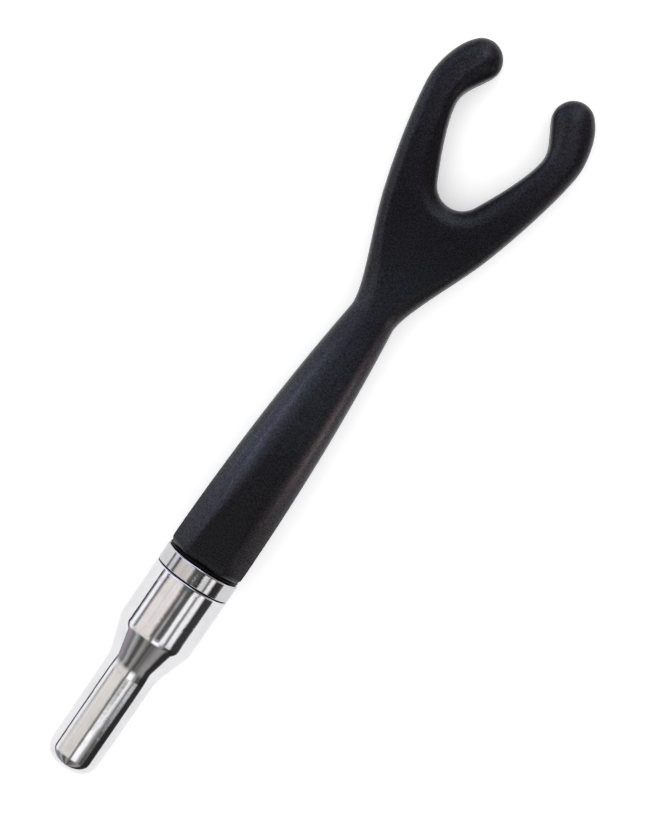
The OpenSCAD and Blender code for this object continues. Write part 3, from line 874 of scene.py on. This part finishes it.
def head_mesh():
    rows = head_rows()
    foot = [foot_points(rows[0], step) for step in range(FOOT_STEPS)]
    pocket = [pocket_points(foot[0], r, y) for r, y in (
        (ROD_POCKET_R, ROD_POCKET_TOP_Y), (ROD_POCKET_R, HUB_POCKET_TOP_Y),
        (HUB_POCKET_R, HUB_POCKET_TOP_Y), (HUB_POCKET_R, FOOT_Y))]
    grid = pocket + foot + rows
    pocket_top = Vector((0, ROD_POCKET_TOP_Y, 0))
    bm = bmesh.new()
    for sx, sz in ((1, 1), (1, -1), (-1, 1), (-1, -1)):
        add_quarter(bm, grid, pocket_top, sx, sz)
    bmesh.ops.remove_doubles(bm, verts=bm.verts, dist=MERGE)
    bmesh.ops.dissolve_degenerate(bm, edges=bm.edges, dist=MERGE)
    bmesh.ops.recalc_face_normals(bm, faces=bm.faces)
    for face in bm.faces:
        face.smooth = True
    mesh = bpy.data.meshes.new("silicone_fork")
    bm.to_mesh(mesh)
    bm.free()
    mesh.set_sharp_from_angle(angle=HEAD_SHARP)
    mesh.materials.append(SILICONE)
    return mesh


head = new_object("silicone_fork", head_mesh())
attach(head, "head")
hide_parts("fork_head")


# The metal armature inside the head keeps its solids and gets its finishes
FINISHES = {
    "hub_insert": BRASS, "foot_plate": BRASS, "lock_nut": BRASS, "crimp_sleeve": BRASS,
    "left_tip_bead": BRASS, "right_tip_bead": BRASS,
    "core_rod": STEEL, "spring_washer": STEEL, "left_tine_wire": STEEL, "right_tine_wire": STEEL,
}
for name, finish in FINISHES.items():
    inner_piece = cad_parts[name]
    inner_piece.data.materials.clear()
    inner_piece.data.materials.append(finish)


# Floor: a pale, plain light table under the barrel's lowest line and the two tips
FLOOR_SIZE = 3.0
FLOOR_GLOW = 0.28
FLOOR_GAP = 0.00002
BARREL_REST = (0.018, -0.00825)
TIP_REST = (0.140, -0.0043)
FLOOR_SLOPE = atan2(TIP_REST[1] - BARREL_REST[1], TIP_REST[0] - BARREL_REST[0])


def floor_material():
    material, tree, shader, place = new_material("pale_floor")
    paper = effect(tree, MOULDED_GRAIN, {"Place": place, "Grain size": 0.004, "Cloud size": 0.3})
    put(tree, shader["Base Color"], blended(
        tree, paper["Cloud"], (0.90, 0.90, 0.90, 1), (0.92, 0.92, 0.915, 1)))
    put(tree, shader["Roughness"], mapped(tree, paper["Grain"], 0.2, 0.8, 0.85, 0.95))
    shader["Specular IOR Level"].default_value = 0.1
    shader["Emission Color"].default_value = (1, 1, 1, 1)
    shader["Emission Strength"].default_value = FLOOR_GLOW
    return material


def make_floor():
    half = FLOOR_SIZE / 2
    mesh = bpy.data.meshes.new("floor")
    corners = [(-half, -half, 0), (half, -half, 0), (half, half, 0), (-half, half, 0)]
    mesh.from_pydata(corners, [], [(0, 1, 2, 3)])
    under_barrel = Matrix.Translation((0, BARREL_REST[0], BARREL_REST[1] - FLOOR_GAP))
    mesh.transform(under_barrel @ Matrix.Rotation(FLOOR_SLOPE, 4, "X"))
    mesh.materials.append(floor_material())
    floor = new_object("floor", mesh)


make_floor()


# Camera: straight above the web, shifted so that its frame is the photograph's
def make_camera():
    data = bpy.data.cameras.new("camera")
    frame_h = IMAGE_H * MM_PER_PIXEL
    data.sensor_width = SENSOR_W
    data.lens = SENSOR_W * EYE[2] / frame_h
    data.clip_start, data.clip_end = CLIP
    camera = new_object("camera", data)
    right = Vector((cos(VIEW_TURN), sin(VIEW_TURN), 0))
    up = Vector((-sin(VIEW_TURN), cos(VIEW_TURN), 0))
    aside = Vector((VIEW_CENTRE[0] - EYE[0], VIEW_CENTRE[1] - EYE[1], 0))
    data.shift_x = aside.dot(right) / frame_h
    data.shift_y = aside.dot(up) / frame_h
    turn = Matrix((right, up, right.cross(up))).transposed().to_4x4()
    camera.matrix_world = Matrix.Translation(Vector(EYE) * MM) @ turn
    bpy.context.scene.camera = camera


make_camera()


# Studio: soft boxes, strips and dark flags round the object, which the chrome shows as bands along it.
# Each runs between two angles about the axis, from overhead to the right, with a brightness and a tint.
WARM = (1.0, 0.955, 0.91)
COOL = (0.97, 0.985, 1.0)
PLUM = (1.0, 0.86, 1.02)
PINK = (1.0, 0.96, 0.97)
ROSE = (1.0, 0.84, 0.88)
SKY = (0.84, 0.87, 1.25)
HAZE = (0.90, 0.91, 1.15)
LILAC = (1.0, 0.92, 1.30)
NEUTRAL = (1, 1, 1)
BARREL_PANELS = [
    (-100, -88, 70, PLUM), (-83, -75, 245, COOL), (-68, -65, 112, PLUM), (-60, -16, 220, WARM),
    (-10, -4, 100, WARM), (1, 3, 155, NEUTRAL), (7, 17, 82, NEUTRAL), (22, 30, 245, NEUTRAL),
    (34, 39, 130, NEUTRAL), (43, 54, 235, NEUTRAL), (60, 84, 55, NEUTRAL), (90, 98, 190, PINK),
]
COLLAR_PANELS = [
    (-100, -88, 135, PLUM), (-83, -76, 222, COOL), (-68, -65, 85, PLUM), (-58, -17, 214, WARM),
    (-11, 12, 90, NEUTRAL), (15, 17, 50, NEUTRAL), (24, 35, 226, NEUTRAL), (39, 41, 105, NEUTRAL),
    (45, 52, 255, NEUTRAL), (60, 80, 52, NEUTRAL), (94, 98, 180, PINK),
]
SHANK_PANELS = [
    (-100, -88, 80, PLUM), (-84, -76, 235, COOL), (-68, -60, 198, NEUTRAL), (-54, -11, 210, WARM),
    (-6, -2, 115, WARM), (4, 20, 252, NEUTRAL), (30, 36, 140, NEUTRAL), (41, 54, 82, NEUTRAL),
    (60, 84, 44, NEUTRAL), (90, 98, 190, PINK),
]
FLARE_PANELS = [
    (-98, -80, 145, PLUM), (-70, -62, 115, NEUTRAL), (-55, -51, 160, NEUTRAL), (-36, -26, 78, NEUTRAL),
    (-18, -14, 140, WARM), (2, 6, 78, PINK), (12, 20, 98, PINK), (42, 54, 140, PINK),
    (64, 84, 48, NEUTRAL), (90, 98, 190, PINK),
]
FRONT_PANELS = [
    (-98, -92, 180, SKY), (-86, -40, 310, SKY), (-14, 24, 46, LILAC), (36, 50, 60, LILAC),
    (58, 84, 50, ROSE), (90, 98, 190, PINK),
]
GLOW_PANELS = [(24, 36, 0, ROSE), (56, 84, 270, ROSE), (92, 96, 0, ROSE)]
FAR_PANELS = [(-90, -70, 120, SKY), (-40, 5, 265, HAZE), (32, 84, 130, ROSE)]
CHROME_SHINE = 0.58
PANEL_TURN = radians(-3.0)
STREAK_TURN = radians(1.6)
STREAK_ALONG = 14.0
STREAK_LIGHT = (0.8, 1.2)
RAGGED_TURN = radians(4.0)
RAGGED_SCALES = (6.0, 150.0)
DOME = (1.20, 1.20, 1.22, 1)
BACKDROP = (1.0, 1.0, 1.0, 1)

# A reflection shows the panels of the piece it comes from, told by its slant along the axis:
# each pair is where a set of panels, or their glow, starts to take over and where it has
SHANK_SLANT = (-0.205, -0.25)
COLLAR_SLANT = (-0.1745, -0.172)
FLARE_SLANT = (-0.42, -0.66)
FRONT_SLANT = (-0.150, -0.138)
FAR_SLANT = (0.26, 0.52)
GLOW_SLANT = (-0.15, -0.03)
GLOW_FADE_SLANT = (0.06, 0.14)
DIM_SLANT = (0.0, 0.1)
GLOW_LEAST = 0.25
GLOW_LEFT = 0.3
DIM_LEFT = 0.3


def seen(value, tint):
    """The light that polished chrome has to mirror to look that bright, from 0 to 255."""
    light = (value / 255) ** 2.2 / CHROME_SHINE
    return (light * tint[0], light * tint[1], light * tint[2], 1)


def panel_ramp(tree, share, panels):
    ramp = node(tree, "ShaderNodeValToRGB", {"Fac": share})
    stops = ramp.color_ramp.elements
    while len(stops) < 2 * len(panels):
        stops.new(0.5)
    ends = [(turn, value, tint) for first, last, value, tint in panels for turn in (first, last)]
    for stop, (turn, value, tint) in zip(stops, ends):
        stop.position = turn / 360 + 0.5
        stop.color = seen(value, tint)
    return ramp.outputs["Color"]


def noise_over(tree, turn, along, turn_scale, along_scale):
    """Noise over the angle about the axis and the slant along it."""
    place = node(tree, "ShaderNodeCombineXYZ", {
        "X": maths(tree, "MULTIPLY", turn, turn_scale), "Y": maths(tree, "MULTIPLY", along, along_scale)})
    return node(tree, "ShaderNodeTexNoise", {
        "Vector": place.outputs[0], "Scale": 1.0, "Detail": 4.0, "Roughness": 0.6}).outputs["Fac"]


def scaled(tree, first, second):
    return node(tree, "ShaderNodeVectorMath", {0: first, 1: second}, operation="MULTIPLY").outputs[0]


def make_world():
    """The studio that mirrors show, and a plain white dome for everything else."""
    world = bpy.data.worlds.new("studio")
    bpy.context.scene.world = world
    world.use_nodes = True
    world.cycles.sampling_method = "NONE"
    tree = world.node_tree
    direction = node(tree, "ShaderNodeTexCoord").outputs["Generated"]
    ways = node(tree, "ShaderNodeSeparateXYZ", {0: direction}).outputs
    along = ways["Y"]
    turn = maths(tree, "ARCTAN2", ways["X"], ways["Z"])

    def by_slant(ends, start=0.0, end=1.0, blend="SMOOTHSTEP"):
        return mapped(tree, along, ends[0], ends[1], start, end, blend)

    uneven = noise_over(tree, turn, along, RAGGED_SCALES[0], RAGGED_SCALES[1])
    ragged = mapped(tree, uneven, 0.25, 0.75, -RAGGED_TURN, RAGGED_TURN)
    about = maths(tree, "ADD", maths(tree, "ADD", turn, ragged), PANEL_TURN)
    share = maths(tree, "ADD", maths(tree, "DIVIDE", about, 2 * pi), 0.5)

    def panels(kind):
        return panel_ramp(tree, share, kind)

    to_flare = by_slant(FLARE_SLANT)
    bands = blended(
        tree, by_slant(SHANK_SLANT, blend="LINEAR"), panels(BARREL_PANELS), panels(SHANK_PANELS))
    bands = blended(tree, to_flare, bands, panels(FLARE_PANELS))
    bands = blended(tree, by_slant(COLLAR_SLANT, blend="LINEAR"), bands, panels(COLLAR_PANELS))
    fine = noise_over(tree, turn, along, 1 / STREAK_TURN, STREAK_ALONG)
    lined = mapped(tree, fine, 0.3, 0.7, STREAK_LIGHT[0], STREAK_LIGHT[1])
    streaks = node(tree, "ShaderNodeMix", {"Factor": to_flare, "A": lined, "B": 1.0}).outputs["Result"]
    bands = scaled(tree, bands, streaks)

    glow = maths(tree, "MULTIPLY", by_slant(GLOW_SLANT, GLOW_LEAST),
                 by_slant(GLOW_FADE_SLANT, 1.0, GLOW_LEFT))
    glowing = node(tree, "ShaderNodeVectorMath", {
        0: panels(GLOW_PANELS), 1: glow, 2: panels(FRONT_PANELS)}, operation="MULTIPLY_ADD").outputs[0]
    dimmed = scaled(tree, glowing, by_slant(DIM_SLANT, 1.0, DIM_LEFT, "LINEAR"))
    ahead = blended(tree, by_slant(FAR_SLANT), dimmed, panels(FAR_PANELS))
    bands = blended(tree, by_slant(FRONT_SLANT), bands, ahead)

    rays = node(tree, "ShaderNodeLightPath").outputs
    lit = blended(tree, rays["Is Glossy Ray"], DOME, bands)
    shown = blended(tree, rays["Is Camera Ray"], lit, BACKDROP)
    put(tree, tree.nodes["Background"].inputs["Color"], shown)


def soft_panel(name, aim_y, way, distance, size, energy, colour, spread=180, lit=None):
    """An area light that looks at a place on the axis; lit is the only collection that it lights."""
    aim = Vector((0, aim_y, 0))
    data = bpy.data.lights.new(name, "AREA")
    data.shape = "DISK"
    data.size = size
    data.energy = energy
    data.color = colour
    data.spread = radians(spread)
    light = new_object(name, data)
    light.location = aim + Vector(way).normalized() * distance
    light.rotation_mode = "QUATERNION"
    light.rotation_quaternion = (aim - light.location).to_track_quat("-Z", "Y")
    light.visible_camera = False
    light.visible_glossy = lit is not None
    light.light_linking.receiver_collection = lit


# Narrow lamps over stem and tips: angle about the axis, slant along it, place on it, power and colour
LAMP_DISTANCE = 0.18
LAMP_SIZE = 0.04
LAMP_SPREAD = 14
KEY_LIGHT = (1.0, 0.99, 0.98)
DAYLIGHT = (0.60, 0.75, 1.0)
BLUSH = (1.0, 0.80, 0.84)
NARROW_LAMPS = [
    (-80, -0.05, 0.062, 0.0003, DAYLIGHT), (-50, -0.05, 0.064, 0.0006, DAYLIGHT),
    (-20, 0.05, 0.073, 0.00018, DAYLIGHT), (3, 0.07, 0.075, 0.00018, DAYLIGHT),
    (26, 0.06, 0.073, 0.00018, DAYLIGHT), (71, -0.04, 0.066, 0.0007, BLUSH),
    (0, 0.2, 0.142, 0.0004, HAZE), (0, 0.55, 0.142, 0.0004, HAZE),
]


def make_lamps():
    soft_panel(
        "key_panel", aim_y=0.068, way=(-0.6, 0.15, 0.8), distance=0.8, size=0.7, energy=0.5,
        colour=KEY_LIGHT)
    silicone_only = bpy.data.collections.new("silicone_only")
    silicone_only.objects.link(head)
    for index, (turn, slant, aim_y, energy, colour) in enumerate(NARROW_LAMPS):
        way = (sin(radians(turn)), slant, cos(radians(turn)))
        soft_panel(
            "narrow_lamp_%d" % index, aim_y, way, LAMP_DISTANCE, LAMP_SIZE, energy, colour,
            LAMP_SPREAD, silicone_only)


make_world()
make_lamps()
bpy.context.scene.view_settings.view_transform = "Standard"
